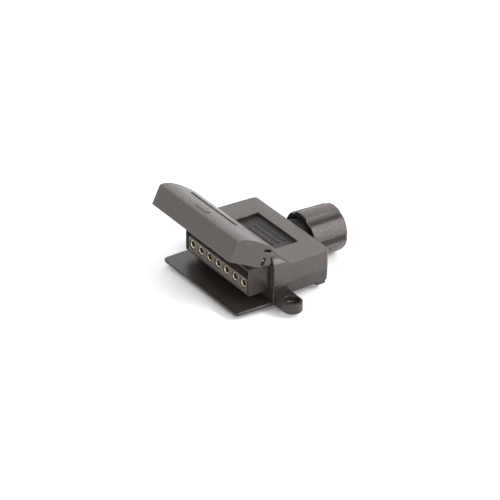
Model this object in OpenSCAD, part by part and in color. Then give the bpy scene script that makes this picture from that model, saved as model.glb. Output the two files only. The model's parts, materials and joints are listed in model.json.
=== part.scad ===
// Flat seven-way trailer wiring socket, vehicle side, lid shown open.
// X runs along the row of contacts, Y from the mouth (-Y) to the cable gland (+Y), Z up.
// The flange face is at y = 0 and the mounting plane of the base at z = 0. Sizes in mm.

/* [Contacts] */
// number of contacts
contact_count = 7; // [2:1:9]
// spacing of the contacts
contact_pitch = 8; // [7:0.5:9]
// height of the contact row
row_z = 11.3; // [10:0.1:13]
// outer radius of a contact tube
tube_r = 2.35; // [1.5:0.05:2.6]
// bore radius of a contact tube
pin_bore_r = 1.75; // [1:0.05:2]
// depth of the pin bore
pin_bore_depth = 14; // [8:0.5:18]

/* [Nose and shelf] */
// half width of the nose
nose_hw = 30; // [28:0.5:34]
// how far the nose stands out of the flange
nose_depth = 11.2; // [8:0.1:14]
// underside of the nose
nose_z0 = 6; // [4:0.1:8]
// top of the nose
nose_z1 = 21.7; // [19:0.1:24]
// wall of the nose
nose_wall = 1.2; // [1:0.1:2]
// half width of the insert that carries the contacts
insert_hw = 27.3; // [26:0.1:28]
// top of the insert
insert_z1 = 15.3; // [14:0.1:17]
// how far the shelf reaches in front of the flange
shelf_depth = 22.4; // [15:0.1:28]
// half width of the shelf at its front edge
shelf_front_hw = 34.8; // [30:0.1:38]
// thickness of the shelf
shelf_t = 1.8; // [1.4:0.1:2.4]

/* [Body] */
// half width of the base at the flange
base_hw = 35.4; // [33:0.1:38]
// half width that the body loses from flange to rear
body_taper = 1.5; // [0:0.1:3]
// rear face of the body
body_y1 = 36; // [30:0.5:42]
// height of the joint between base and cover
split_z = 10; // [8:0.5:12]
// underside of the body between its feet
belly_z = 2.2; // [1:0.1:3]
// width that the base wall loses on each side from the joint to the belly
wall_slant = 1.9; // [0:0.1:4]
// flange thickness
flange_t = 3.5; // [2.5:0.1:5]
// top of the flange
flange_z1 = 22.6; // [22:0.1:24]
// wall thickness of base and cover
wall = 1.8; // [1.2:0.1:2.5]
// top face of the cover
cover_z1 = 21.6; // [20:0.1:24]
// top of the ridge at the front of the cover
ridge_z = 27.4; // [24:0.1:28]
// half width of the recess in the cover
recess_hw = 18.5; // [15:0.1:22]
// depth of the recess in the cover
recess_depth = 2.1; // [1:0.1:3]
// front edge of the recess
recess_y0 = 12.8; // [12:0.1:16]
// rear edge of the recess
recess_y1 = 26.9; // [22:0.1:30]

/* [Mounting ears] */
// half of the distance between the two mounting holes
ear_x = 43.5; // [40:0.5:48]
// position of the mounting holes behind the flange face
ear_y = 5.9; // [5:0.1:8]
// outer radius of an ear
ear_r = 5.3; // [4.5:0.1:7]
// thickness of an ear
ear_t = 5.5; // [4:0.1:8]
// radius of the mounting holes
ear_hole_r = 2.6; // [2:0.1:3.2]

/* [Lid] */
// hinge axis in front of the flange
hinge_y = -4; // [-6:0.1:-3]
// height of the hinge axis
hinge_z = 27; // [26:0.1:29]
// angle from shut to the open position that is built
lid_open = 117; // [0:1:128]
// half width of the lid
lid_hw = 36.6; // [35:0.1:38]
// thickness of the end walls of the lid
lid_end_t = 2; // [1.5:0.1:2.5]
// radius of the hinge pin
hinge_pin_r = 1; // [0.8:0.1:1.5]
// radius of the hinge knuckles
knuckle_r = 2.2; // [1.8:0.1:3]

/* [Cable gland] */
// height of the gland axis
gland_z = 11.1; // [10:0.1:14]
// radius of the nut at its front end
nut_r0 = 13.9; // [12:0.1:15]
// radius of the nut at its rear end
nut_r1 = 13.1; // [11:0.1:15]
// front end of the nut
nut_y0 = 41; // [40:0.5:44]
// rear end of the nut
nut_y1 = 63.2; // [58:0.1:66]
// number of grip flutes
flute_count = 6; // [3:1:12]
// radius of the cable hole
cable_r = 5.5; // [3:0.1:7]
// thread pitch
thread_pitch = 2; // [1:0.25:3]

/* [Hidden] */
$fn = 72;
past = 0.5;                      // how far a cut runs past the face it opens
fit_gap = 0.05;                  // gap between a tube or screw and its hole
flange_skin_t = 1.2;             // flange where it stands out beside the sloping base wall
flange_core_hw = 33.2;
flange_top_hw = 34.1;            // flange inside the cover's side walls
cover_hw = base_hw + 0.3;
cover_wall = 1.4;
cover_y0 = 0.5;                  // front face of the cover's ridge
cover_gap = 0.2;                 // gap between the cover and the flange that it laps over
taper_angle = atan(body_taper / body_y1);
slant_angle = atan(wall_slant / (split_z - belly_z));
corner_r = 2.4;                  // plan radius of the rear corners of the body
shelf_corner_r = 2.4;
rim_gap = 0.3;                   // half the gap that the gasket fills between base and cover
mouth_hw = nose_hw - nose_wall;
mouth_z0 = nose_z0 + 1.1;
mouth_z1 = nose_z1 - 1.4;
tube_y0 = -nose_depth + 0.8;     // front end of a contact tube
bar_y0 = 6;                      // terminal bar behind each tube
bar_y1 = 18;
bar_hw = 2.5;
bar_z0 = 8;
bar_z1 = 14.6;
wire_r = 1.7;
clamp_y = 13;                    // terminal screw position along the bar
terminal_screw_r = 1.5;
cover_screw_xy = [[29.6, 11.5], [-29.6, 11.5], [28.6, 30], [-28.6, 30]];
cover_screw_r = 1.2;
cover_screw_l = 12;
cover_head_r = 2.1;
post_r = 2.6;                    // posts round the cover screws
head_pocket_depth = 2.6;         // pocket for a cover screw's head, from the belly up
retainer_hw = 32.4;
retainer_t = 2;
retainer_h = 12.3;
insert_screw_x = 30.6;
insert_screw_z = 13;
insert_screw_r = 1.1;
insert_head_r = 1.8;
screw_floor_y = 0.8;             // blind end of the insert screws' holes in the flange
ear_cbore_r = 4.2;               // counterbore for the head of a mounting screw
ear_cbore_depth = 2.2;
lug_x = [-30.6, -9.4, 9.4, 30.6];
lug_hw = 1.4;
lug_y1 = 3.4;                    // rear of the hinge lugs, over the flange
lug_root_z1 = 25.2;              // top of the outer lugs where they pass under the cover's ridge
lid_knuckle_r = 1.9;
lid_gap = 0.3;                   // gap between shut lid and flange face
seal_y = -nose_depth - 0.2;      // face of the lid seal when shut
collar_r = 9.6;                  // neck where it passes through the cover's rear wall
neck_r = 10.2;
crest_r = 10.8;
shoulder_r = 10.5;               // plain shoulder between the body and the thread
shoulder_y1 = 38.6;
thread_y0 = 42;
neck_y0 = 32;
neck_y1 = 53;
neck_bore_r = 8.3;
neck_bore_y0 = 44;
passage_r = 6;                   // way for the wires from the gland into the body
seal_bore_r = 4.6;
seal_r = 8.1;
slip_bore_r = 5.2;
slip_r = 8.4;
slip_y0 = 53.4;
slip_y1 = 56.6;
spring_wire_r = 0.45;
spring_coil_r = 1.85;            // centre line of the wire
spring_coils = 12;
spring_pitch = 1.9 * spring_wire_r;
spring_leg_x = (spring_coils - 2) / 2 * spring_pitch;
nut_taper = atan((nut_r0 - nut_r1) / (nut_y1 - nut_y0));
flute_r = 4;
flute_depth = 1.1;
flute_angle = 57;                // angle of the first flute above +X
foot = [[27, 31.4], [29.8, 35.6]]; // foot under each rear corner, x then y
bar_count = 3;                   // low plain bars on the floor of the recess
bar_l = 22;
bar_w = 1.4;
bar_h = 0.3;
bar_spacing = 3.6;

// side view of the ramp from the top of the cover up to its front ridge
ramp = [
    [11.3, 21.8], [9.9, 22.3], [8.3, 23.2], [6.6, 24.5],
    [4.8, 25.9], [3.2, 26.9], [1.9, 27.35], [1, ridge_z]
];

function body_hw(hw, y) = hw - body_taper * y / body_y1;
function is_middle_lug(x) = abs(x) < lug_x[3];

module both_sides() {
    children();
    mirror([1, 0, 0]) children();
}

module along_x(x0, x1) {
    translate([x0, 0, 0]) rotate([90, 0, 90]) linear_extrude(x1 - x0) children();
}

module along_y(y0, y1) {
    translate([0, y1, 0]) rotate([90, 0, 0]) linear_extrude(y1 - y0) children();
}

module rod_x(r, x0, x1, y, z, sides = 48) {
    translate([x0, y, z]) rotate([0, 90, 0]) cylinder(r = r, h = x1 - x0, $fn = sides);
}

module rod_y(r, y0, y1, x, z, sides = 48) {
    translate([x, y1, z]) rotate([90, 0, 0]) cylinder(r = r, h = y1 - y0, $fn = sides);
}

// plan outline of the body: tapers towards the rear, where its corners are round
module body_plan(hw, y0, inset) {
    y1 = body_y1 - inset;
    rear_hw = body_hw(hw, y1) - inset;
    r = corner_r - inset / 2;
    difference() {
        polygon([[-(body_hw(hw, y0) - inset), y0], [body_hw(hw, y0) - inset, y0],
                 [rear_hw, y1], [-rear_hw, y1]]);
        both_sides() translate([rear_hw - r, y1 - r]) difference() {
            square(r + past);
            circle(r);
        }
    }
}

// the base below the joint, with side walls that lean in towards the belly
module tub(inset, y0, z0, z1) {
    difference() {
        translate([0, 0, z0]) linear_extrude(z1 - z0) body_plan(base_hw, y0, inset);
        both_sides()
            translate([base_hw - inset, 0, split_z]) rotate([0, 0, taper_angle])
                rotate([0, slant_angle, 0]) translate([0, -20, -20]) cube([20, 80, 20]);
    }
}

module ear() {
    end_x = ear_x + 0.8;
    root_x = flange_core_hw - 1.6;
    difference() {
        union() {
            translate([end_x, ear_y, 0]) cylinder(r = ear_r, h = ear_t);
            translate([root_x, ear_y - ear_r, 0]) cube([end_x - root_x, 2 * ear_r, ear_t]);
        }
        translate([ear_x, ear_y, -past]) cylinder(r = ear_hole_r, h = ear_t + 2 * past);
        translate([ear_x, ear_y, ear_t - ear_cbore_depth])
            cylinder(r = ear_cbore_r, h = ear_cbore_depth + past);
    }
}

// a lug that carries the hinge pin; the middle pair stand above the cover and stop the open lid
module hinge_lug(stop) {
    heel = stop
        ? [[0.8, hinge_z + knuckle_r], [lug_y1, hinge_z - 0.6]]
        : [[-2.6, hinge_z + knuckle_r], [0.2, hinge_z], [0.2, lug_root_z1], [lug_y1, lug_root_z1]];
    difference() {
        union() {
            rod_x(knuckle_r, -lug_hw, lug_hw, hinge_y, hinge_z);
            along_x(-lug_hw, lug_hw)
                polygon([[hinge_y, hinge_z + knuckle_r], each heel, [lug_y1, flange_z1 - 1],
                         [0, flange_z1 - 1], [0, hinge_z - knuckle_r], [hinge_y, hinge_z - knuckle_r]]);
        }
        rod_x(hinge_pin_r, -lug_hw - past, lug_hw + past, hinge_y, hinge_z);
    }
}

module shelf() {
    r = shelf_corner_r;
    linear_extrude(shelf_t) difference() {
        polygon([[-shelf_front_hw, -shelf_depth], [shelf_front_hw, -shelf_depth],
                 [base_hw, past], [-base_hw, past]]);
        both_sides() translate([shelf_front_hw - r, -shelf_depth + r]) difference() {
            translate([0, -r - past]) square(r + past);
            circle(r);
        }
    }
}

module nose() {
    translate([-nose_hw, -nose_depth, nose_z0]) cube([2 * nose_hw, nose_depth + past, nose_z1 - nose_z0]);
}

module flange() {
    difference() {
        union() {
            translate([-base_hw, 0, 0]) cube([2 * base_hw, flange_skin_t, split_z - rim_gap]);
            translate([-flange_core_hw, 0, 0]) cube([2 * flange_core_hw, flange_t, split_z - rim_gap]);
            translate([-flange_top_hw, 0, 0]) cube([2 * flange_top_hw, flange_t, flange_z1]);
        }
        both_sides()
            rod_y(insert_screw_r + fit_gap, screw_floor_y, flange_t + past,
                  insert_screw_x, insert_screw_z, 32);
    }
}

// opening from the front of the nose through the flange, in which the insert sits
module mouth() {
    translate([-mouth_hw, -nose_depth - past, mouth_z0])
        cube([2 * mouth_hw, nose_depth + flange_t + 2 * past, mouth_z1 - mouth_z0]);
}

// threaded neck: a plain tube that carries ring-shaped thread crests
module neck() {
    translate([0, 0, gland_z]) rotate([-90, 0, 0]) rotate_extrude($fn = 96)
        polygon([[passage_r, neck_y0], [collar_r, neck_y0], [collar_r, body_y1 + rim_gap],
                 [shoulder_r, body_y1 + rim_gap], [shoulder_r, shoulder_y1], [neck_r, shoulder_y1],
                 for (y = [thread_y0 : thread_pitch : neck_y1 - 1.5 * thread_pitch])
                     each [[neck_r, y], [crest_r, y + thread_pitch / 4], [crest_r, y + thread_pitch / 2],
                           [neck_r, y + thread_pitch * 3 / 4]],
                 [neck_r, neck_y1], [neck_bore_r, neck_y1], [neck_bore_r, neck_bore_y0],
                 [passage_r, neck_bore_y0 - 2]]);
}

module base_housing() {
    color("#4a4644") difference() {
        union() {
            shelf();
            nose();
            flange();
            difference() {
                tub(0, flange_skin_t - past, belly_z, split_z - rim_gap);
                tub(wall, flange_t, belly_z + wall, split_z + past);
            }
            for (p = cover_screw_xy) translate([p[0], p[1], belly_z + 1])
                cylinder(r = post_r, h = split_z - rim_gap - belly_z - 1);
            both_sides() ear();
            both_sides() translate([foot[0][0], foot[1][0], 0])
                cube([foot[0][1] - foot[0][0], foot[1][1] - foot[1][0], belly_z + past]);
            neck();
            for (x = lug_x) translate([x, 0, 0]) hinge_lug(is_middle_lug(x));
        }
        for (p = cover_screw_xy) translate([p[0], p[1], belly_z - past]) {
            cylinder(r = cover_screw_r + 0.3, h = split_z, $fn = 32);
            cylinder(r = cover_head_r + 0.2, h = head_pocket_depth + past, $fn = 32);
        }
        mouth();
        rod_y(passage_r, neck_y0 - 2, neck_bore_y0 - 1, 0, gland_z);
    }
}

// side view of the cover's skin; step moves it inwards
module cover_profile(step) {
    front = cover_y0 + step;
    top = cover_z1 - step;
    bottom = split_z + rim_gap - (step > 0 ? past : 0);
    polygon([[front, bottom], [body_y1 - step, bottom], [body_y1 - step, top], [12.5, top],
             for (p = ramp) if (p[0] > front) [p[0], p[1] - step], [front, ridge_z - step - 0.5]]);
}

// front view of the cover's skin, round along its two upper edges
module cover_front(step) {
    r = 6 - step;
    hw = cover_hw - step;
    top = ridge_z - step;
    difference() {
        translate([-hw, 0]) square([2 * hw, top]);
        both_sides() translate([hw - r, top - r]) difference() {
            square(r + past);
            circle(r);
        }
    }
}

module cover_skin(step) {
    intersection() {
        linear_extrude(40) body_plan(cover_hw, cover_y0 + step, step);
        along_x(-50, 50) cover_profile(step);
        along_y(-5, 60) cover_front(step);
    }
}

module top_cover() {
    color("#5a5553") difference() {
        union() {
            difference() {
                cover_skin(0);
                translate([0, -0.2, 0]) cover_skin(cover_wall);
                translate([-flange_top_hw - cover_gap, -past, split_z - past])
                    cube([2 * (flange_top_hw + cover_gap), flange_t + past + rim_gap,
                          flange_z1 + cover_gap - split_z + past]);
            }
            intersection() {
                cover_skin(0);
                translate([-recess_hw - cover_wall, recess_y0 - cover_wall, cover_z1 - recess_depth - 1.5])
                    cube([2 * (recess_hw + cover_wall), recess_y1 - recess_y0 + 2 * cover_wall,
                          recess_depth + 2]);
            }
            for (p = cover_screw_xy) translate([p[0], p[1], split_z + rim_gap])
                cylinder(r = post_r, h = cover_z1 - 1 - split_z - rim_gap);
        }
        translate([-recess_hw, recess_y0, cover_z1 - recess_depth])
            cube([2 * recess_hw, recess_y1 - recess_y0, 8]);
        for (p = cover_screw_xy) translate([p[0], p[1], split_z - past])
            cylinder(r = cover_screw_r + fit_gap, h = 8.6, $fn = 32);
        for (x = lug_x) translate([x - lug_hw - rim_gap, -past, flange_z1 - 1])
            cube([2 * (lug_hw + rim_gap), flange_t + 0.7,
                  is_middle_lug(x) ? 9 : lug_root_z1 + cover_gap - flange_z1 + 1]);
        rod_y(collar_r + rim_gap, 30, 37, 0, gland_z, 96);
    }
    color("#5a5553") for (i = [0 : bar_count - 1])
        translate([-bar_l / 2, recess_y0 + 2.7 + bar_spacing * i, cover_z1 - recess_depth - 0.2])
            cube([bar_l, bar_w, bar_h + 0.2]);
}

module cover_gasket() {
    color("#1d1d1d") difference() {
        translate([0, 0, split_z - rim_gap + fit_gap]) linear_extrude(2 * (rim_gap - fit_gap)) difference() {
            body_plan(base_hw, flange_t + 0.4, 0.25);
            body_plan(base_hw, flange_t - 1, 1.35);
        }
        rod_y(collar_r + rim_gap, 30, 40, 0, gland_z, 96);
    }
}

function contact_x(i) = (i - (contact_count - 1) / 2) * contact_pitch;

module contact_insert() {
    color("#524d4a") difference() {
        union() {
            translate([-insert_hw, -nose_depth + 0.2, mouth_z0 + 0.1])
                cube([2 * insert_hw, nose_depth + 0.8, insert_z1 - mouth_z0 - 0.1]);
            translate([-mouth_hw + 0.2, 0.8, mouth_z0 + 0.1])
                cube([2 * mouth_hw - 0.4, flange_t - 0.85, mouth_z1 - mouth_z0 - 0.3]);
        }
        for (i = [0 : contact_count - 1]) {
            rod_y(tube_r + fit_gap, -20, 20, contact_x(i), row_z);
            rod_y(tube_r + 0.4, -nose_depth - past, -nose_depth + 2.6, contact_x(i), row_z);
        }
    }
}

module insert_retainer() {
    color("#3a3634") difference() {
        translate([-retainer_hw, flange_t + fit_gap, mouth_z0 + 0.2])
            cube([2 * retainer_hw, retainer_t, retainer_h]);
        for (i = [0 : contact_count - 1]) rod_y(tube_r + fit_gap, 0, 10, contact_x(i), row_z);
        both_sides() rod_y(insert_screw_r + 0.2, 0, 10, insert_screw_x, insert_screw_z, 32);
    }
}

// brass socket tube with a terminal bar behind it for the wire
module contact(i) {
    color("#b99b55") difference() {
        union() {
            rod_y(tube_r, tube_y0, bar_y0 + past, contact_x(i), row_z);
            translate([contact_x(i) - bar_hw, bar_y0, bar_z0])
                cube([2 * bar_hw, bar_y1 - bar_y0, bar_z1 - bar_z0]);
        }
        rod_y(pin_bore_r, tube_y0 - past, tube_y0 + pin_bore_depth, contact_x(i), row_z);
        rod_y(wire_r, bar_y0 + 3, bar_y1 + past, contact_x(i), row_z);
        translate([contact_x(i), clamp_y, row_z]) cylinder(r = terminal_screw_r + fit_gap, h = 10, $fn = 32);
    }
}

module slotted_screw(shank_r, shank_l, head_r, head_h) {
    difference() {
        union() {
            cylinder(r = head_r, h = head_h, $fn = 32);
            translate([0, 0, -shank_l]) cylinder(r = shank_r, h = shank_l + 0.1, $fn = 32);
        }
        translate([-head_r - past, -0.3, head_h / 2]) cube([2 * head_r + 2 * past, 0.6, head_h]);
    }
}

module terminal_screws() {
    color("#9a9a9c") for (i = [0 : contact_count - 1])
        translate([contact_x(i), clamp_y, bar_z1 + 0.4])
            slotted_screw(terminal_screw_r, 3.2, terminal_screw_r, 1.2);
}

module insert_screws() {
    color("#9a9a9c") both_sides()
        translate([insert_screw_x, flange_t + retainer_t + 2 * fit_gap, insert_screw_z]) rotate([-90, 0, 0])
            slotted_screw(insert_screw_r, 4.6, insert_head_r, 1.3);
}

module cover_screws() {
    color("#9a9a9c") for (p = cover_screw_xy)
        translate([p[0], p[1], belly_z + head_pocket_depth - fit_gap]) mirror([0, 0, 1])
            slotted_screw(cover_screw_r, cover_screw_l, cover_head_r, 1.7);
}

module hinge_pin() {
    color("#b4b4b6") rod_x(hinge_pin_r, -lid_hw + 0.75, lid_hw - 0.75, hinge_y, hinge_z);
}

// torsion spring: rings side by side, one leg against the cover and one held by the lid
module lid_spring() {
    color("#b4b4b6") {
        for (i = [0 : spring_coils - 1])
            translate([(i - (spring_coils - 1) / 2) * spring_pitch, hinge_y, hinge_z]) rotate([0, 90, 0])
                rotate_extrude($fn = 40) translate([spring_coil_r, 0]) circle(spring_wire_r, $fn = 16);
        rod_y(spring_wire_r, hinge_y, 0.4, -spring_leg_x, hinge_z - spring_coil_r, 16);
        lid_swing() rod_y(spring_wire_r, hinge_y - 6.4, hinge_y, spring_leg_x, hinge_z - spring_coil_r, 16);
    }
}

// places what is drawn with the lid shut in the open position
module lid_swing() {
    translate([0, hinge_y, hinge_z]) rotate([-lid_open, 0, 0]) translate([0, -hinge_y, -hinge_z]) children();
}

// side view of the shut lid, from its lower rear corner round the domed front
module lid_profile() {
    polygon([[-lid_gap, 2.2], [-11.6, 2.1], [-12.6, 3.6], [-13.3, 5.6], [-13.75, 8.5], [-13.9, 12],
             [-13.8, 15.5], [-13.4, 19.4], [-12.9, 22.8], [-12.3, 25.8], [-11.7, 26.7], [-10.8, 27.2],
             [hinge_y - 2.8, 27.35], [hinge_y - 1, 28.2], [hinge_y + 1, 28.2],
             [-1.7, 25.6], [-lid_gap, 22.4]]);
}

// eye under the top wall of the lid that holds the spring's leg
module spring_eye() {
    difference() {
        translate([spring_leg_x - 1.5, hinge_y - 6, hinge_z - 3.4]) cube([3, 1.4, 2.2]);
        rod_y(spring_wire_r + 0.1, hinge_y - 8, hinge_y, spring_leg_x, hinge_z - spring_coil_r, 16);
    }
}

module lid_body() {
    difference() {
        union() {
            along_x(-lid_hw, lid_hw) lid_profile();
            rod_x(lid_knuckle_r, -lid_hw, lid_hw, hinge_y, hinge_z);
        }
        translate([-lid_hw + lid_end_t, -12, 3.7]) cube([2 * (lid_hw - lid_end_t), 13, 21.9]);
        translate([-lid_hw + lid_end_t, hinge_y - 3.2, 20]) cube([2 * (lid_hw - lid_end_t), 8, 12]);
        both_sides() lid_tongue_slots();
        rod_x(hinge_pin_r + fit_gap, -lid_hw + 0.7, lid_hw - 0.7, hinge_y, hinge_z);
    }
}

// two slots in each end wall free a tongue that snaps over the hinge pin
module lid_tongue_slots() {
    translate([lid_hw - lid_end_t - past, -10.9, 21.7]) cube([lid_end_t + 2 * past, 1.6, 4.2]);
    translate([lid_hw - lid_end_t - past, -6.2, 22.8]) cube([lid_end_t + 2 * past, 4.3, 2.1]);
}

module lid() {
    color("#5d5956") lid_swing() {
        lid_body();
        spring_eye();
        along_x(-27, 14) polygon([[-13, 16], [-14.25, 16.1], [-14.1, 17.9], [-13, 18]]);
        along_x(-8, 2) polygon([[-12.6, 5.2], [-13.65, 5.4], [-14.15, 8.2], [-13, 8.3]]);
    }
}

module lid_seal() {
    color("#262626") lid_swing() translate([-31.5, -12, 5]) cube([63, 12 + seal_y, 17.6]);
}

module gland_nut() {
    bore_r = crest_r + rim_gap;
    color("#55504e") difference() {
        translate([0, 0, gland_z]) rotate([-90, 0, 0]) rotate_extrude($fn = 96)
            polygon([[bore_r, nut_y0], [nut_r0 - 0.5, nut_y0], [nut_r0, nut_y0 + 0.6],
                     [nut_r1 + 0.05, nut_y1 - 1.5], [nut_r1 - 0.45, nut_y1 - 0.5], [nut_r1 - 1.5, nut_y1],
                     [cable_r + 1, nut_y1], [cable_r, nut_y1 - 0.8], [cable_r, nut_y1 - 4],
                     [slip_r + past, nut_y1 - 5.2], [slip_r + past, nut_y1 - 7], [bore_r, nut_y1 - 8]]);
        for (i = [0 : flute_count - 1])
            translate([0, 0, gland_z]) rotate([0, -flute_angle - i * 360 / flute_count, 0])
                translate([nut_r0 + nut_y0 * tan(nut_taper) - flute_depth + flute_r, 0, 0])
                    rotate([0, 0, nut_taper]) rod_y(flute_r, 30, 75, 0, 0);
    }
}

module gland_slip_ring() {
    color("#c9c7c0") translate([0, 0, gland_z]) rotate([-90, 0, 0]) rotate_extrude()
        polygon([[slip_bore_r, slip_y0], [slip_r, slip_y0], [slip_r, slip_y1],
                 [slip_bore_r + 0.4, slip_y1], [slip_bore_r, slip_y1 - 0.4]]);
}

module gland_seal() {
    color("#202020") translate([0, 0, gland_z]) rotate([-90, 0, 0]) rotate_extrude()
        polygon([[seal_bore_r, neck_bore_y0 + 0.6], [seal_r - 0.9, neck_bore_y0 + 0.6],
                 [seal_r, neck_bore_y0 + 1.6], [seal_r, slip_y0 - rim_gap],
                 [seal_bore_r, slip_y0 - rim_gap]]);
}

base_housing();
top_cover();
cover_gasket();
contact_insert();
insert_retainer();
contact(0);  // contact_1
contact(1);  // contact_2
contact(2);  // contact_3
contact(3);  // contact_4
contact(4);  // contact_5
contact(5);  // contact_6
contact(6);  // contact_7
terminal_screws();
insert_screws();
cover_screws();
hinge_pin();
lid_spring();
lid();
lid_seal();
gland_nut();
gland_slip_ring();
gland_seal();
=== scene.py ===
import json
import math

import bmesh
import bpy
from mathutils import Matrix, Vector


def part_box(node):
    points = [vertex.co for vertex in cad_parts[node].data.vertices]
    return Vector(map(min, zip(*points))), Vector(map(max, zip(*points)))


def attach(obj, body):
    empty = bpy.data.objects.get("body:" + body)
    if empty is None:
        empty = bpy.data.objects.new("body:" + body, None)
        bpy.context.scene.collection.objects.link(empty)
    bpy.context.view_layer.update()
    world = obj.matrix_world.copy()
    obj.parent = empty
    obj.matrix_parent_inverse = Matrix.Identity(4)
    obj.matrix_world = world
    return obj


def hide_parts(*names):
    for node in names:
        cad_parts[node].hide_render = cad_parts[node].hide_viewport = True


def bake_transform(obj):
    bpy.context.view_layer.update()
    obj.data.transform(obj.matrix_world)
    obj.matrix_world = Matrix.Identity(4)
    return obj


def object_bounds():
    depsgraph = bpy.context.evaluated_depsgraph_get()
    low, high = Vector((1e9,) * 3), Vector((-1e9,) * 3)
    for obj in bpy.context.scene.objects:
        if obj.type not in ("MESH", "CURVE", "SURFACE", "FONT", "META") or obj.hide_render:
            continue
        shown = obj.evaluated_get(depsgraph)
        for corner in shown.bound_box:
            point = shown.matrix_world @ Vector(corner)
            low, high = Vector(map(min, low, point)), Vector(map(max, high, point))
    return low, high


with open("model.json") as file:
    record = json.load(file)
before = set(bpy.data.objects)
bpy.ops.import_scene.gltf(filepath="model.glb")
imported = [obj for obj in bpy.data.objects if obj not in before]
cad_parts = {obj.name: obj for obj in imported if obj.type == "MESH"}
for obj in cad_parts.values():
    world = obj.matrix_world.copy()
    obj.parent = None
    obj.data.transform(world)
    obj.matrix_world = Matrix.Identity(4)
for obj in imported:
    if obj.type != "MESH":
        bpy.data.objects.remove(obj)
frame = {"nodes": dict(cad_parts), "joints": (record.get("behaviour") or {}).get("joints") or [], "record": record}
cad_low, cad_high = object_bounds()

MM = 0.001
NODES = frame["nodes"]
RECORD = frame["record"]
JOINTS = {joint["name"]: joint for joint in frame["joints"]}
MOUNTS = {mount["name"]: mount for mount in RECORD["mounts"]}
BODY_OF = {node: body for body, members in RECORD["behaviour"]["bodies"].items() for node in members}
SLOT_OF = {row["node"]: row["material_slot"] for row in RECORD["subparts"]}
CONTACTS = [node for node, slot in SLOT_OF.items() if slot == "contacts"]


def mm(*values):
    """A point given in mm, in metres."""
    return Vector([v * MM for v in values])


# ---------------------------------------------------------------- camera, light and floor

LOOK_AT = mm(0, 5, 15)
AZIMUTH = math.radians(56.41)
ELEVATION = math.radians(29.60)
DISTANCE = 1.4504
SENSOR = 36
LENS = 201
SHIFT = (0.0142, -0.0019)
WORLD_STRENGTH = 1.4
FLOOR_HALF = 3.0             # half of the floor's side, in metres
FLOOR_GAP = 0.05             # gap in mm under the lowest point of the object
# azimuth and elevation in degrees, distance, width and height in metres, and radiance
LAMPS = {
    "rear": (236, 40, 1.3, 1.2, 1.1, 0.5),
    "right": (123, 27, 0.9, 0.45, 0.7, 7.5),
    "lid edge": (40.5, 7.5, 1.2, 0.26, 0.26, 22),
    "cover edge": (134, 46, 1.2, 0.24, 0.24, 14),
}


def towards(azimuth, elevation):
    flat = math.cos(elevation)
    return Vector((math.sin(azimuth) * flat, -math.cos(azimuth) * flat, math.sin(elevation)))


def aim(obj, azimuth, elevation, distance):
    """Puts a camera or a lamp at a distance in metres from the object and turns it to face it."""
    back = towards(azimuth, elevation)
    obj.location = LOOK_AT + back * distance
    obj.rotation_euler = (-back).to_track_quat("-Z", "Y").to_euler()


def make_camera():
    data = bpy.data.cameras.new("camera")
    data.sensor_width = SENSOR
    data.lens = LENS
    data.shift_x, data.shift_y = SHIFT
    data.clip_start = 0.05
    data.clip_end = 20
    camera = bpy.data.objects.new("camera", data)
    bpy.context.scene.collection.objects.link(camera)
    aim(camera, AZIMUTH, ELEVATION, DISTANCE)
    bpy.context.scene.camera = camera


def make_lamp(name, azimuth, elevation, distance, width, height, radiance):
    """A white panel that faces the object and shines evenly with the given radiance."""
    data = bpy.data.lights.new(name, "AREA")
    data.shape = "RECTANGLE"
    data.size = width
    data.size_y = height
    data.energy = radiance * math.pi * width * height
    lamp = bpy.data.objects.new(name, data)
    bpy.context.scene.collection.objects.link(lamp)
    aim(lamp, math.radians(azimuth), math.radians(elevation), distance)


def make_light():
    world = bpy.data.worlds.new("studio")
    bpy.context.scene.world = world
    world.use_nodes = True
    background = world.node_tree.nodes["Background"]
    background.inputs["Color"].default_value = (1, 1, 1, 1)
    background.inputs["Strength"].default_value = WORLD_STRENGTH
    for name, numbers in LAMPS.items():
        make_lamp(name, *numbers)
    scene = bpy.context.scene
    scene.view_settings.view_transform = "Standard"
    scene.view_settings.look = "None"


def make_floor():
    mesh = bpy.data.meshes.new("floor")
    z = cad_low.z - FLOOR_GAP * MM
    corners = [(-FLOOR_HALF, -FLOOR_HALF, z), (FLOOR_HALF, -FLOOR_HALF, z),
               (FLOOR_HALF, FLOOR_HALF, z), (-FLOOR_HALF, FLOOR_HALF, z)]
    mesh.from_pydata(corners, [], [(0, 1, 2, 3)])
    floor = bpy.data.objects.new("floor", mesh)
    bpy.context.scene.collection.objects.link(floor)
    material, shader, _ = new_material("floor")
    shader.inputs["Base Color"].default_value = (0.82, 0.82, 0.82, 1)
    shader.inputs["Roughness"].default_value = 0.9
    floor.data.materials.append(material)


# ---------------------------------------------------------------- materials

def new_material(name):
    material = bpy.data.materials.new(name)
    material.use_nodes = True
    tree = material.node_tree
    return material, tree.nodes["Principled BSDF"], tree


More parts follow.
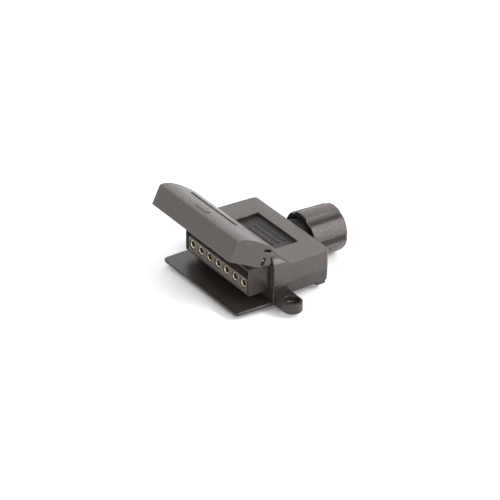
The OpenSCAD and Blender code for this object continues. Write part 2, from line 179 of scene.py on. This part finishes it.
class Graph:
    """Short names for the shader nodes that the materials are made of."""

    def __init__(self, tree):
        self.tree = tree
        self.place = tree.nodes.new("ShaderNodeTexCoord").outputs["Object"]

    def node(self, kind, **settings):
        made = self.tree.nodes.new(kind)
        for key, value in settings.items():
            setattr(made, key, value)
        return made

    def link(self, source, target):
        self.tree.links.new(source, target)

    def noise(self, size_mm, detail=3.0, roughness=0.55, stretch=(1, 1, 1)):
        """Noise whose features are about size_mm across; stretch lengthens them along an axis."""
        mapping = self.node("ShaderNodeMapping")
        mapping.inputs["Scale"].default_value = [1 / s for s in stretch]
        self.link(self.place, mapping.inputs["Vector"])
        made = self.node("ShaderNodeTexNoise")
        made.inputs["Scale"].default_value = 1 / (size_mm * MM)
        made.inputs["Detail"].default_value = detail
        made.inputs["Roughness"].default_value = roughness
        self.link(mapping.outputs["Vector"], made.inputs["Vector"])
        return made.outputs["Fac"]

    def remap(self, value, low, high, to_low=0.0, to_high=1.0):
        made = self.node("ShaderNodeMapRange", clamp=True)
        for key, number in (("From Min", low), ("From Max", high), ("To Min", to_low), ("To Max", to_high)):
            made.inputs[key].default_value = number
        self.link(value, made.inputs["Value"])
        return made.outputs["Result"]

    def maths(self, operation, a, b):
        made = self.node("ShaderNodeMath", operation=operation)
        for socket, value in zip(made.inputs, (a, b)):
            if isinstance(value, (int, float)):
                socket.default_value = value
            else:
                self.link(value, socket)
        return made.outputs["Value"]

    def mix(self, share, a, b):
        """Colour a where share is 0, colour b where it is 1."""
        made = self.node("ShaderNodeMix", data_type="RGBA")
        for socket, value in zip((made.inputs[0], made.inputs[6], made.inputs[7]), (share, a, b)):
            if isinstance(value, (tuple, list)):
                socket.default_value = (*value, 1)
            elif isinstance(value, (int, float)):
                socket.default_value = value
            else:
                self.link(value, socket)
        return made.outputs[2]

    def edges(self, radius_mm):
        """About 1 on convex and concave edges and 0 on flats."""
        rounded = self.node("ShaderNodeBevel", samples=6)
        rounded.inputs["Radius"].default_value = radius_mm * MM
        flat = self.node("ShaderNodeNewGeometry").outputs["Normal"]
        product = self.node("ShaderNodeVectorMath", operation="DOT_PRODUCT")
        self.link(rounded.outputs["Normal"], product.inputs[0])
        self.link(flat, product.inputs[1])
        return self.remap(product.outputs["Value"], 0.995, 0.86)

    def bump(self, height, distance_mm, strength=1.0, after=None):
        made = self.node("ShaderNodeBump")
        made.inputs["Strength"].default_value = strength
        made.inputs["Distance"].default_value = distance_mm * MM
        self.link(height, made.inputs["Height"])
        if after is not None:
            self.link(after, made.inputs["Normal"])
        return made.outputs["Normal"]


def scaled(colour, factor, plus=0.0):
    return tuple(min(1, c * factor + plus) for c in colour)


def moulded(name, colour, grain_mm=0.8, grain_depth_mm=0.1, rough=(0.26, 0.4), mottle=0.12, speckle=0.3,
            edge_shine=0.65, ior=1.52):
    """Moulded plastic: eroded grain, cloudy colour, pale specks, and edges rubbed smooth and paled as a painted
    highlight.
    """
    material, shader, tree = new_material(name)
    g = Graph(tree)
    clouds = g.noise(size_mm=9.0, detail=4)
    blotches = g.noise(size_mm=1.9)
    grain = g.noise(grain_mm, detail=4, roughness=0.7)
    grit = g.noise(grain_mm * 0.7, detail=2)
    wear = g.noise(size_mm=2.2, detail=4)
    waves = g.noise(size_mm=5.0, detail=2)
    base = g.mix(g.remap(clouds, 0.3, 0.7), scaled(colour, 1 - mottle), scaled(colour, 1 + mottle))
    base = g.mix(g.remap(blotches, 0.45, 0.75, 0, 0.5), base, scaled(colour, 0.7))
    specks = g.maths("MULTIPLY", g.remap(grain, 0.52, 0.64), g.remap(grit, 0.45, 0.6))
    base = g.mix(g.maths("MULTIPLY", specks, speckle), base, scaled(colour, 3.2, 0.02))
    # edges are rubbed smoother (wear) and made paler in colour (a painted highlight)
    wear_and_highlight = g.maths("MULTIPLY", g.edges(radius_mm=0.5), g.remap(wear, 0.25, 0.5))
    base = g.mix(g.maths("MULTIPLY", wear_and_highlight, 0.4), base, scaled(colour, 2.0, 0.02))
    g.link(base, shader.inputs["Base Color"])
    roughness = g.remap(g.maths("ADD", grain, g.maths("MULTIPLY", clouds, 0.6)), 0.55, 1.1, *rough)
    roughness = g.maths("MULTIPLY", roughness, g.remap(wear_and_highlight, 0, 1, 1, 1 - edge_shine))
    g.link(roughness, shader.inputs["Roughness"])
    normal = g.bump(g.maths("MULTIPLY", grain, g.remap(wear_and_highlight, 0, 1, 1, 0.3)), grain_depth_mm)
    normal = g.bump(waves, distance_mm=0.12, strength=0.6, after=normal)
    g.link(normal, shader.inputs["Normal"])
    shader.inputs["IOR"].default_value = ior
    return material


def metal(name, colour, rough=(0.2, 0.42), streak=(1, 1, 1), tarnish=0.35):
    """Bare metal with drawn or turned streaks and patches of tarnish."""
    material, shader, tree = new_material(name)
    g = Graph(tree)
    patches = g.noise(size_mm=2.0, detail=4)
    lines = g.noise(size_mm=0.12, roughness=0.6, stretch=streak)
    base = g.mix(g.remap(patches, 0.4, 0.75, 0, tarnish), colour, scaled(colour, 0.45))
    g.link(base, shader.inputs["Base Color"])
    g.link(g.remap(lines, 0.3, 0.7, *rough), shader.inputs["Roughness"])
    g.link(g.bump(lines, distance_mm=0.01, strength=0.6), shader.inputs["Normal"])
    shader.inputs["Metallic"].default_value = 1.0
    return material


def soft_rubber(name, colour):
    """Matte rubber with a dusty bloom."""
    material, shader, tree = new_material(name)
    g = Graph(tree)
    dust = g.noise(size_mm=1.2, detail=5, roughness=0.65)
    pores = g.noise(size_mm=0.25, detail=2)
    base = g.mix(g.remap(dust, 0.45, 0.8, 0, 0.5), colour, scaled(colour, 2.2, 0.01))
    g.link(base, shader.inputs["Base Color"])
    g.link(g.remap(dust, 0.3, 0.7, 0.6, 0.85), shader.inputs["Roughness"])
    g.link(g.bump(pores, distance_mm=0.02, strength=0.8), shader.inputs["Normal"])
    return material


BODY_GREY = (0.032, 0.024, 0.021)
# the housing's plastic is a darker copy of the cover's, painting the shade on its sides
SHADED_HOUSING_GREY = (0.018, 0.0135, 0.012)
SHADE_GREY = (0.008, 0.007, 0.006)
# one material for each slot of the record
MATERIALS = {
    "housing": moulded("housing_plastic", SHADED_HOUSING_GREY, ior=1.43),
    "cover": moulded("cover_plastic", BODY_GREY),
    "lid": moulded("lid_plastic", BODY_GREY),
    "nut": moulded("nut_plastic", BODY_GREY, grain_mm=1.1, grain_depth_mm=0.35, rough=(0.22, 0.34),
                   mottle=0.2, speckle=0.8),
    "insert": moulded("insert_plastic", (0.075, 0.060, 0.050), mottle=0.15, rough=(0.42, 0.6)),
    "contacts": metal("contact_brass", (0.93, 0.84, 0.62), (0.26, 0.45)),
    "screws": metal("zinc_plate", (0.62, 0.62, 0.6)),
    "spring_steel": metal("spring_steel", (0.66, 0.66, 0.66), (0.15, 0.3), (30, 1, 1), 0.15),
    "soft_rubber": soft_rubber("seal_rubber", (0.03, 0.03, 0.03)),
    "slip_ring": moulded("slip_ring_nylon", (0.66, 0.64, 0.58), grain_mm=0.5, mottle=0.05, speckle=0,
                         edge_shine=0),
}
# second materials on parts of a piece; all but the recess floor are painted shade
RECESS_FLOOR = moulded("recess_floor_plastic", (0.015, 0.012, 0.011), grain_mm=1.3, grain_depth_mm=0.5,
                       rough=(0.32, 0.6), mottle=0.35, speckle=0.5, ior=1.38)
# a darker copy of the nut's plastic that paints the shade in the flutes
FLUTE_SHADE_PLASTIC = moulded("flute_shade_plastic", (0.012, 0.009, 0.008), rough=(0.3, 0.45), speckle=0.2, ior=1.36)
# darker brass that paints the shade inside the contact tubes
BORE_SHADE_BRASS = metal("tube_inside_shade_brass", (0.16, 0.12, 0.06), (0.4, 0.6))
# near-black plastic that paints shade: on the threaded neck, the recess walls, the lid's slot walls and the nut's
# front face
PAINTED_SHADE_PLASTIC = moulded("painted_shade_plastic", SHADE_GREY, rough=(0.5, 0.7), speckle=0.1, edge_shine=0.2, ior=1.25)


# ---------------------------------------------------------------- tools for making pieces

JOIN_DISTANCE = 0.002 * MM               # corners closer than this are one corner
FLAT_ANGLE = math.radians(0.05)          # faces closer than this to one plane are one face
SHARP_ANGLE = math.radians(32)           # outward edges sharper than this are broken
ON_PLANE = 0.02                          # in mm, how near to a known face counts as on it
EDGE_WIDTH = {"base_housing": 0.3, "top_cover": 0.35, "lid": 0.35, "contact_insert": 0.15}   # bevels, in mm


def stand_in(obj, node):
    """Gives a new piece the body and the material of the CAD node that it replaces."""
    obj.data.materials.clear()
    obj.data.materials.append(MATERIALS[SLOT_OF[node]])
    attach(obj, BODY_OF[node])
    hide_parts(node)


def clean_copy(node, merge=True):
    """The node's mesh with shared corners joined and, if merge is set, flat areas made one face each."""
    bm = bmesh.new()
    bm.from_mesh(NODES[node].data)
    bmesh.ops.remove_doubles(bm, verts=bm.verts, dist=JOIN_DISTANCE)
    bmesh.ops.dissolve_degenerate(bm, dist=JOIN_DISTANCE, edges=bm.edges)
    if merge:
        bmesh.ops.dissolve_limit(bm, angle_limit=FLAT_ANGLE, verts=bm.verts, edges=bm.edges)
    bm.normal_update()
    return bm


def outer_edges(bm, angle):
    """Edges that stand out at more than the angle."""
    return [e for e in bm.edges if len(e.link_faces) == 2 and e.calc_face_angle_signed(0) > angle]


def object_from(bm, name, smooth_angle=40):
    mesh = bpy.data.meshes.new(name)
    bm.to_mesh(mesh)
    bm.free()
    mesh.polygons.foreach_set("use_smooth", [True] * len(mesh.polygons))
    mesh.set_sharp_from_angle(angle=math.radians(smooth_angle))
    made = bpy.data.objects.new(name, mesh)
    bpy.context.scene.collection.objects.link(made)
    return made


def round_edges(node, merge=True, keep=lambda place: False):
    """The node with its sharp edges broken by a small bevel, except those where keep(place in mm) is true."""
    bm = clean_copy(node, merge)
    edges = [e for e in outer_edges(bm, SHARP_ANGLE) if not keep((e.verts[0].co + e.verts[1].co) / (2 * MM))]
    bmesh.ops.bevel(bm, geom=edges, offset=EDGE_WIDTH[node] * MM, offset_type="OFFSET", segments=1,
                    profile=0.5, affect="EDGES", clamp_overlap=False, loop_slide=False)
    made = object_from(bm, node + "_moulded")
    weighted = made.modifiers.new("flat faces stay flat", "WEIGHTED_NORMAL")
    weighted.mode = "FACE_AREA"
    weighted.weight = 100
    weighted.keep_sharp = True
    stand_in(made, node)
    return made


def second_material(obj, material, belongs):
    """Gives another material to the faces for which belongs(centre in mm, normal) is true."""
    obj.data.materials.append(material)
    index = len(obj.data.materials) - 1
    for face in obj.data.polygons:
        if belongs(face.center / MM, face.normal):
            face.material_index = index


def grid_mesh(rows, closed=True):
    """A mesh from rings of points, each joined to the next, and the last to the first if closed is set."""
    count = len(rows[0])
    bm = bmesh.new()
    points = [[bm.verts.new(p) for p in row] for row in rows]
    for i in range(len(rows) if closed else len(rows) - 1):
        near, far = points[i], points[(i + 1) % len(rows)]
        for a in range(count):
            b = (a + 1) % count
            bm.faces.new([near[a], near[b], far[b], far[a]])
    bmesh.ops.recalc_face_normals(bm, faces=bm.faces)
    return bm


# ---------------------------------------------------------------- housing, cover and insert

NECK_START = 36.35           # y behind which the base housing is only its threaded neck
RECESS_HW = 18.5             # half width of the recess in the cover
RECESS_Y = (12.8, 26.9)
RECESS_Z = (19.2, 21.5)      # heights between which only the recess has faces there
RECESS_SLACK = 0.1           # how far outside its walls a face still belongs to the recess


def in_recess(centre, margin):
    """Whether a point in mm lies in the recess of the cover, at least margin from its walls."""
    inset = margin - RECESS_SLACK
    return (abs(centre.x) < RECESS_HW - inset and RECESS_Y[0] + inset < centre.y < RECESS_Y[1] - inset
            and RECESS_Z[0] < centre.z < RECESS_Z[1])


def is_recess_wall(centre, normal):
    return in_recess(centre, 0) and not in_recess(centre, 0.3)


def make_housing():
    housing = round_edges("base_housing")
    # painted shade on the threaded neck
    second_material(housing, PAINTED_SHADE_PLASTIC, lambda centre, normal: centre.y > NECK_START)


def make_cover():
    cover = round_edges("top_cover", merge=False, keep=lambda place: in_recess(place, 0.5))
    second_material(cover, RECESS_FLOOR, lambda centre, normal: in_recess(centre, 0) and normal.z > -0.5)
    # painted shade on the walls of the recess
    second_material(cover, PAINTED_SHADE_PLASTIC, is_recess_wall)


# ---------------------------------------------------------------- lid

HINGE_Y, HINGE_Z = [v / MM for v in JOINTS["lid_hinge"]["pos_m"][1:]]
LID_OPEN = -JOINTS["lid_hinge"]["range_deg"][0]      # degrees that the lid at rest stands open
DOME_Y = -13.4                                       # y of the shut lid in front of which it is domed
END_WALL_X = (34.4, 36.2)                            # the lid's end walls, left and right of the middle
TONGUE_SLOTS = [((-11, -9.2), (21.6, 26)), ((-6.3, -1.8), (22.7, 25))]   # their y and z when the lid is shut


def shut(place):
    """Where a point in mm of the open lid lies when the lid is shut."""
    opened = math.radians(LID_OPEN)
    y, z = place.y - HINGE_Y, place.z - HINGE_Z
    return Vector((place.x, HINGE_Y + y * math.cos(opened) - z * math.sin(opened),
                   HINGE_Z + y * math.sin(opened) + z * math.cos(opened)))


def in_tongue_slot(centre, normal):
    """Whether a face is a wall of a slot in an end wall of the lid."""
    place = shut(centre)
    in_end_wall = END_WALL_X[0] < abs(place.x) < END_WALL_X[1] and abs(normal.x) < 0.5
    return in_end_wall and any(y0 < place.y < y1 and z0 < place.z < z1 for (y0, y1), (z0, z1) in TONGUE_SLOTS)


def make_lid():
    lid = round_edges("lid", keep=lambda place: shut(place).y < DOME_Y)
    # painted shade on the walls of the slots in the lid's end walls
    second_material(lid, PAINTED_SHADE_PLASTIC, in_tongue_slot)


# ---------------------------------------------------------------- contacts

LIP = 0.2                    # width in mm of the rounding on the open end of a contact tube
LIP_ANGLE = math.radians(60)


def make_contact(node):
    """The contact with a rounded lip on the open end of its tube."""
    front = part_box(node)[0].y / MM
    bore = MOUNTS[node.replace("contact", "contact_bore")]
    bore_x, _, bore_z = [v / MM for v in bore["pos_m"]]
    inside_r = bore["dims"]["r_mm"] + ON_PLANE
    behind_lip = front + LIP + ON_PLANE
    bm = clean_copy(node)
    on_end = [e for e in outer_edges(bm, LIP_ANGLE) if all(v.co.y < (front + ON_PLANE) * MM for v in e.verts)]
    bmesh.ops.bevel(bm, geom=on_end, offset=LIP * MM, offset_type="OFFSET", segments=3, profile=0.5,
                    affect="EDGES", clamp_overlap=False)
    made = object_from(bm, node + "_lipped", 30)
    stand_in(made, node)
    # painted shade inside the tube behind its lip
    second_material(made, BORE_SHADE_BRASS, lambda centre, normal: centre.y > behind_lip
                  and math.hypot(centre.x - bore_x, centre.z - bore_z) < inside_r)


# ---------------------------------------------------------------- gland nut

GLAND_Z = JOINTS["gland_spin"]["pos_m"][2] / MM
NUT = {"front": 41, "rear": 63.2, "front_r": 13.9, "rear_r": 13.1}
FLUTE = {"radius": 4, "depth": 1.1, "count": 6, "first": 57}
FACE_END_Y = 41.05           # y in front of which the nut's front face gets painted shade
FLUTE_SHADE_Y = (41.3, 62)  # where the flutes get painted shade, along the nut and below the lands
FLUTE_SHADE_DEPTH = (0.3, 1.3)
# half section of the nut as radius and y, from the front of its bore round the outside to the cable hole
NUT_SECTION = [
    (11.1, 41), (11.6, 41), (12.4, 41), (13.3, 41),
    (13.62, 41.08), (13.83, 41.3), (13.9, 41.6),
    (13.72, 46.5), (13.54, 51.5), (13.34, 57), (13.17, 61.5),
    (13.1, 62.0), (12.9, 62.5), (12.5, 62.9), (11.9, 63.12), (11.4, 63.2),
    (9, 63.2), (6.7, 63.2),
    (6.25, 63.12), (5.8, 62.8), (5.5, 62.4), (5.5, 59.2),
    (8.9, 58), (8.9, 56.2), (11.1, 55.2),
]
ROUND_STEPS = 360


def land_radius(y):
    """Radius of the lands between the flutes, which taper to the rear."""
    slope = (NUT["front_r"] - NUT["rear_r"]) / (NUT["rear"] - NUT["front"])
    return NUT["front_r"] - (y - NUT["front"]) * slope


def flute_radius(angle, y):
    """Distance from the axis to the surface of the nearest flute, or infinity outside it."""
    spacing = 2 * math.pi / FLUTE["count"]
    off = (angle - math.radians(FLUTE["first"]) + spacing / 2) % spacing - spacing / 2
    centre = land_radius(y) - FLUTE["depth"] + FLUTE["radius"]
    inside = FLUTE["radius"] ** 2 - (centre * math.sin(off)) ** 2
    return centre * math.cos(off) - math.sqrt(inside) if inside > 0 and abs(off) < math.pi / 4 else math.inf


def on_front_face(centre, normal):
    return centre.y < FACE_END_Y and normal.y < -0.6


def in_flute(centre, normal):
    """Whether a face lies in a flute of the nut, well below the lands."""
    depth = land_radius(centre.y) - math.hypot(centre.x, centre.z - GLAND_Z)
    along = FLUTE_SHADE_Y[0] < centre.y < FLUTE_SHADE_Y[1]
    return along and FLUTE_SHADE_DEPTH[0] < depth < FLUTE_SHADE_DEPTH[1]


def make_nut():
    rows = []
    for radius, y in NUT_SECTION:
        row = []
        for step in range(ROUND_STEPS):
            angle = 2 * math.pi * step / ROUND_STEPS
            r = min(radius, flute_radius(angle, y))
            row.append(mm(r * math.cos(angle), y, GLAND_Z + r * math.sin(angle)))
        rows.append(row)
    nut = object_from(grid_mesh(rows), "nut_moulded", 50)
    stand_in(nut, "gland_nut")
    # painted shade on the nut's front face
    second_material(nut, PAINTED_SHADE_PLASTIC, on_front_face)
    # painted shade in the flutes
    second_material(nut, FLUTE_SHADE_PLASTIC, in_flute)


# ---------------------------------------------------------------- lid spring

COIL_R = 1.85                # centre line of the wire
COIL_HW = 4.275              # half of the length of the coil
WIRE_R = 0.45
WIRE_SIDES = 10
TURNS = 9 + LID_OPEN / 360
STEPS_PER_TURN = 28
COVER_LEG_Y = (0.4, -1, -2.5)            # points along the leg that rests on the cover
LID_LEG_REACH = (1.5, 3.5, 6.4)          # distances along the leg that the lid holds


def spring_line():
    """Centre line of the wire, from the leg on the cover through the coil to the leg in the lid."""
    points = [(-COIL_HW, y, HINGE_Z - COIL_R) for y in COVER_LEG_Y]
    steps = int(TURNS * STEPS_PER_TURN)
    for step in range(steps + 1):
        share = step / steps
        turn = -share * TURNS * 2 * math.pi
        points.append((COIL_HW * (2 * share - 1), HINGE_Y + COIL_R * math.sin(turn),
                       HINGE_Z - COIL_R * math.cos(turn)))
    opened = math.radians(LID_OPEN)
    for reach in LID_LEG_REACH:
        y = -reach * math.cos(opened) - COIL_R * math.sin(opened)
        z = reach * math.sin(opened) - COIL_R * math.cos(opened)
        points.append((COIL_HW, HINGE_Y + y, HINGE_Z + z))
    return [mm(*p) for p in points]


def make_spring():
    line = spring_line()
    rows = []
    side = Vector((1, 0, 0))
    for i, point in enumerate(line):
        along = (line[min(i + 1, len(line) - 1)] - line[max(i - 1, 0)]).normalized()
        side = (side - along * side.dot(along)).normalized()
        across = along.cross(side)
        rows.append([point + (side * math.cos(a) + across * math.sin(a)) * WIRE_R * MM
                     for a in (2 * math.pi * k / WIRE_SIDES for k in range(WIRE_SIDES))])
    bm = grid_mesh(rows, closed=False)
    open_edges = [e for e in bm.edges if len(e.link_faces) == 1]
    bmesh.ops.holes_fill(bm, edges=open_edges)
    spring = object_from(bm, "lid_spring_wire")
    spring.data.materials.append(MATERIALS["spring_steel"])
    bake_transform(spring)
    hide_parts("lid_spring")


# ---------------------------------------------------------------- all pieces

for node, obj in NODES.items():
    obj.data.materials.clear()
    obj.data.materials.append(MATERIALS[SLOT_OF[node]])
make_housing()
make_cover()
make_lid()
round_edges("contact_insert")
for contact in CONTACTS:
    make_contact(contact)
make_nut()
make_spring()

make_camera()
make_light()
make_floor()
